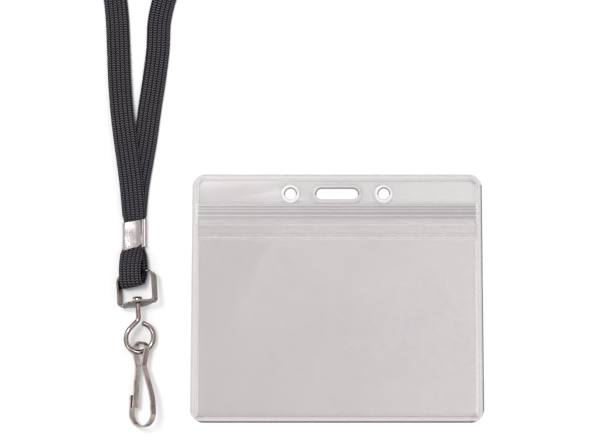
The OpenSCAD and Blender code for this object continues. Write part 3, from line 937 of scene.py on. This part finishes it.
def makeHolder():
    s = holderSettings
    outlines = [holderOutline(s["backInset"]), *cutouts()]
    back = keep("backFilm", plate("backFilm", outlines, 0, s["film"], s["backEdge"]), filmMaterial)
    ride(back, "vinyl", "holder", "back_panel")
    rim = [
        (0, 0.02), (0, 0.42), (0.12, 0.72), (0.36, 0.95), (0.7, 1.02), (1.0, 0.98), (1.16, 0.74), (1.36, 0.74),
        (1.54, 0.98), (1.9, 1.02), (2.16, 1.0), (2.36, 0.8), (2.56, 0.78), (2.56, 0.44), (0.5, 0.42), (0.4, 0.02),
    ]
    w = weldBands
    path = lined(holderOutline(0), w["spacing"])
    weld = swept("weldBorder", path, rim, closed=True, sharpAngle=w["sharp"])
    weldObject = keep("weldBorder", weld, weldMaterial, paintedShadowMaterial, lightMaterial, grooveShadeMaterial)
    for face in weld.polygons:
        x, y = face.center.x / mm, face.center.y / mm
        half = s["top"] / 2 + (s["bottom"] - s["top"]) / 2 * (0.5 - y / s["height"])
        inset = min(half - abs(x), s["height"] / 2 - abs(y))
        low = s["height"] / 2 + y < inset + w["near"]
        right = half - x < inset + w["near"]
        paintedSideHighlight = within(inset, w["inner"]) and abs(x) > half - w["side"]
        # Painted shadow along the outer edge of the bottom and right sides, wider along the bottom
        if inset < (w["shadeLow"] if low else w["shade"]) and (low or right):
            face.material_index = paintedShadowFace
        # Painted shade: a dark line along the bottom weld's inner edge
        elif low and within(inset, w["groove"]):
            face.material_index = grooveShadeFace
        # The light line down the weld's middle, and a painted highlight along the inner edge of the left and right
        # sides
        elif within(inset, w["crown"]) or paintedSideHighlight:
            face.material_index = lightFace
    ride(weldObject, "vinyl_weld", "holder", "edge_weld")
    inside, low, high = s["top"] / 2 - s["headerInset"], s["headerLow"], s["headerHigh"]
    outlines = [[(-inside, low), (inside, low), (inside, high), (-inside, high)], *cutouts()]
    header = plate("headerFilm", outlines, s["headerUnder"], s["headerOver"], s["headerEdge"])
    headerFilm = keep("headerFilm", header, headerMaterial)
    ride(headerFilm, "vinyl", "holder", "header_layer")
    rimProfile = [
        (-0.02, 0.02), (-0.02, 0.8), (0.12, 0.94), (0.34, 1.0), (0.6, 0.98), (0.9, 0.9), (1.3, 0.84), (1.5, 0.78),
        (1.5, 0.7), (0.2, 0.7), (0.2, 0.02),
    ]
    w = rimBands
    rims = [swept("rim", hole, rimProfile, closed=True, sharpAngle=w["sharp"]) for hole in cutouts()]
    rimObject = keep("holeRims", joined("holeRims", rims), rimMaterial, paintedShadowMaterial, lightMaterial)
    for face in rimObject.data.polygons:
        x, y = abs(face.center.x) / mm, face.center.y / mm - s["holeY"]
        reach = math.hypot(x - s["holeX"], y) - s["hole"]
        onSlot = x < s["holeX"] - w["slotFrom"]
        if onSlot:
            reach = math.hypot(max(0, x - (s["slot"] - s["slotHeight"]) / 2), y) - s["slotHeight"] / 2
        # Painted shadow inside the upper edge of each hole; the lower edge keeps the light vinyl
        if reach < w["wall"]:
            face.material_index = paintedShadowFace if y > w["brow"] else lightFace
        elif reach > w["outer"] or onSlot:
            face.material_index = lightFace
    ride(rimObject, "vinyl_weld", "holder")


makeHolder()

frontSettings = {
    "inset": 2.5, "below": 0.3, "spread": 0.006, "base": 0.78, "bow": 0.36, "bowWidth": 5, "margin": 0.2,
    "wave": 0.06, "alongX": 0.11, "alongY": 0.13, "skew": 0.03, "film": 0.3, "sharp": 50,
}


# The front film below the mouth, bowed a little over the pocket
def makeFrontFilm():
    s = frontSettings
    bm = bmesh.new()
    wide, low = holderSettings["top"] / 2 - s["inset"], -holderSettings["height"] / 2 + s["inset"]
    high = holderSettings["lipLow"] - s["below"]
    bmesh.ops.create_grid(bm, x_segments=88, y_segments=56, size=0.5)
    for vert in bm.verts:
        share = Vector((vert.co.x, vert.co.y))
        x, y = share.x * 2 * wide, low + (share.y + 0.5) * (high - low)
        x *= 1 + s["spread"] * (0.5 - share.y)
        rise = eased((min(wide - abs(x), y - low) + s["margin"]) / s["bowWidth"])
        wave = s["wave"] * math.sin(x * s["alongX"] + 1) * math.sin(y * s["alongY"] + x * s["skew"]) * rise
        vert.co = Vector((x, y, s["base"] + s["bow"] * rise + wave)) * mm
    made = bmesh.ops.extrude_face_region(bm, geom=list(bm.faces))
    lowered = [g for g in made["geom"] if isinstance(g, bmesh.types.BMVert)]
    bmesh.ops.translate(bm, vec=Vector((0, 0, -s["film"] * mm)), verts=lowered)
    return tidy(meshOf(bm, "frontFilm"), s["sharp"])


frontFilm = keep("frontFilm", makeFrontFilm(), filmMaterial)
ride(frontFilm, "vinyl", "holder", "front_panel")

# Zip: the groove strip on the back film, and the lip with its ridges and ribs

zipSettings = {
    "ridges": [36.75, 35.7, 34.55, 32.75], "ribs": [33.5, 35.7], "grooves": [36.25, 35.05, 33.45, 32.1],
    "lipRidges": [29.02, 25.1, 24], "lipGrooves": [25.62, 23.7], "ridgeHalf": 0.2, "grooveHalf": 0.3,
    "past": 31.3, "topSide": 1.1,
    "overlap": 0.2, "segments": 16, "sharp": 50,
}


# A straight bar across the holder, its profile given as (up the holder, height)
def bar(name, x0, x1, y, profile, caps=True):
    count = zipSettings["segments"]
    path = [(x0 + (x1 - x0) * i / count, y, 0) for i in range(count + 1)]
    return swept(name, path, [(-a, b) for a, b in profile], caps=caps, sharpAngle=zipSettings["sharp"])


def makeGroove():
    s = holderSettings
    half = s["lipHalf"] + zipSettings["overlap"]
    middle = (s["headerLow"] + s["zipLow"]) / 2
    channel = [(0.75, 0.66), (0.62, 0.58), (0.5, 0.5), (-0.5, 0.5), (-0.62, 0.58), (-0.75, 0.66)]
    profile = [(-3, 0.4), (3, 0.4), (3, 0.62)]
    for y in sorted(zipSettings["ribs"], reverse=True):
        profile += [(y - middle + d, z) for d, z in channel]
    profile += [(-3, 0.62)]
    return bar("groove", -half, half, middle, profile)


groove = keep("zipGroove", makeGroove(), ridgeMaterial)
ride(groove, "vinyl_weld", "holder", "zip_groove")


# The lip's section, anticlockwise, as distances up the holder from its middle line and heights
def lipProfile():
    s = holderSettings
    middle = (s["lipLow"] + s["lipTop"]) / 2
    ridge = [(-0.34, 1.2), (-0.2, 1.42), (0, 1.47), (0.2, 1.42), (0.34, 1.2)]
    rib = [(0.3, 0.9), (0.34, 0.72), (0.15, 0.64), (-0.15, 0.64), (-0.34, 0.72), (-0.3, 0.9)]
    section = [
        (s["lipLow"], 0.84), (s["lipLow"], 1.16), (s["lipLow"] + 0.25, 1.26), (24.1, 1.26), (24.35, 1.2),
        (25.1, 1.2), (25.3, 1.34), (25.5, 1.34), (25.75, 1.16), (28.7, 1.16), (28.9, 1.28), (29.15, 1.28),
        (29.35, 1.2), (31.7, 1.22),
    ]
    for y in sorted(zipSettings["ridges"]):
        section += [(y + d, z) for d, z in ridge]
    section += [(s["lipTop"] - 0.3, 1.22), (s["lipTop"], 1.1), (s["lipTop"], 0.92)]
    for y in sorted(zipSettings["ribs"], reverse=True):
        section += [(y + d, z) for d, z in rib]
    section += [(31, 0.9), (30.4, 0.84)]
    return middle, [(y - middle, z) for y, z in section]


lipZip, lipRidge, lipGrooveShade = 1, 2, 3


def makeLip():
    s, z = holderSettings, zipSettings
    middle, section = lipProfile()
    ridges, grooves = z["ridges"] + z["lipRidges"], z["grooves"] + z["lipGrooves"]
    spans = [
        ("lipLeft", -s["lipHalf"], -s["split"]), ("lipMiddle", -s["split"], s["split"]),
        ("lipRight", s["split"], s["lipHalf"]),
    ]
    made = []
    for name, x0, x1 in spans:
        mesh = bar(name, x0, x1, middle, section, caps=False)
        obj = keep(name, mesh, filmMaterial, weldMaterial, ridgeMaterial, grooveShadeMaterial)
        for face in mesh.polygons:
            y, up = face.center.y / mm, face.center.z > z["topSide"] * mm
            if up and any(abs(y - ridge) < z["ridgeHalf"] for ridge in ridges):
                face.material_index = lipRidge
            # Painted shade: the tops between the zip's ridges are darker
            elif up and any(abs(y - groove) < z["grooveHalf"] for groove in grooves):
                face.material_index = lipGrooveShade
            elif y > z["past"]:
                face.material_index = lipZip
        made.append(obj)
    return made


lipLeft, lipMiddle, lipRight = makeLip()
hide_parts("front_lip", "zip_rib")
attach(lipMiddle, "mouth_lip")
for lip, side in ((lipLeft, -1), (lipRight, 1)):
    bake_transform(lip)

crushSettings = {
    "length": (1.2, 0.9), "start": (54.3, 0.3), "spine": 55.3, "sway": 0.25, "phase": 1.7, "low": 29.4,
    "step": 0.75, "count": 12, "sharp": 60,
}
padProfile = [(-0.36, 0.9), (0.36, 0.9), (0.3, 1.1), (0.12, 1.18), (-0.12, 1.18), (-0.3, 1.1)]
spineProfile = [(-0.32, 0.9), (0.32, 0.9), (0.26, 1.1), (0, 1.16), (-0.26, 1.1)]


# The zip's two ends, pressed flat into the side welds
def makeCrush():
    s = crushSettings
    pads = []
    for side in (-1, 1):
        for y in zipSettings["ridges"]:
            length = s["length"][0] + s["length"][1] * random.random()
            x0 = side * (s["start"][0] + s["start"][1] * random.random())
            x1 = x0 + side * length
            pads.append(bar("pad", min(x0, x1), max(x0, x1), y, padProfile))
        spine = [
            (side * (s["spine"] + s["sway"] * math.sin(k * s["phase"] + side)), s["low"] + k * s["step"], 0)
            for k in range(s["count"])
        ]
        pads.append(swept("pad", spine, spineProfile, sharpAngle=s["sharp"]))
    return joined("zipEnds", pads)


zipEnds = keep("zipEnds", makeCrush(), crushMaterial)
ride(zipEnds, "vinyl_weld", "holder")
print("holder made")

# Floor and light

floorSettings = {"half": 3, "drop": 0.05, "color": (0.93, 0.93, 0.93), "roughness": 0.9}
bm = bmesh.new()
bmesh.ops.create_grid(bm, x_segments=1, y_segments=1, size=floorSettings["half"])
bmesh.ops.translate(bm, vec=Vector((0, 0, -floorSettings["drop"] * mm)), verts=bm.verts)
floorMaterial = makePlain("paleFloor", floorSettings["color"], floorSettings["roughness"])
floor = keep("floor", meshOf(bm, "floor"), floorMaterial)

lightAim = Vector((-0.03, 0.02, 0))
lightSettings = [
    ("key", (-0.3, 0.3, 1.2), 0.36, 8.0),
    ("side", (0.75, 0.1, 0.6), 0.4, 1.6),
    ("front", (-0.1, -0.8, 0.75), 0.45, 1.4),
    ("left", (-0.85, 0.15, 0.4), 0.4, 0.65),
]
for name, place, size, power in lightSettings:
    data = bpy.data.lights.new(name, "AREA")
    data.size = size
    data.energy = power
    lamp = bpy.data.objects.new(name, data)
    lamp.location = place
    lamp.rotation_euler = (lightAim - Vector(place)).to_track_quat("-Z", "Y").to_euler()
    scene.collection.objects.link(lamp)

worldSettings = {"From Min": 0.2, "From Max": 0.85, "To Min": 0.04, "To Max": 0.75}


# Bright overhead and dark low down, so that the plated parts keep their dark cores; the camera sees it white
def makeWorld():
    world = bpy.data.worlds.new("world")
    scene.world = world
    world.use_nodes = True
    tree = world.node_tree
    background = tree.nodes["Background"]
    background.inputs["Color"].default_value = (1, 1, 1, 1)
    split = tree.nodes.new("ShaderNodeSeparateXYZ")
    tree.links.new(tree.nodes.new("ShaderNodeTexCoord").outputs["Generated"], split.inputs[0])
    fade = tree.nodes.new("ShaderNodeMapRange")
    for name, value in worldSettings.items():
        fade.inputs[name].default_value = value
    tree.links.new(split.outputs["Z"], fade.inputs["Value"])
    seen = tree.nodes.new("ShaderNodeLightPath").outputs["Is Camera Ray"]
    tree.links.new(mathNode(tree, "MAXIMUM", fade.outputs["Result"], seen), background.inputs["Strength"])


makeWorld()

print("scene ready")
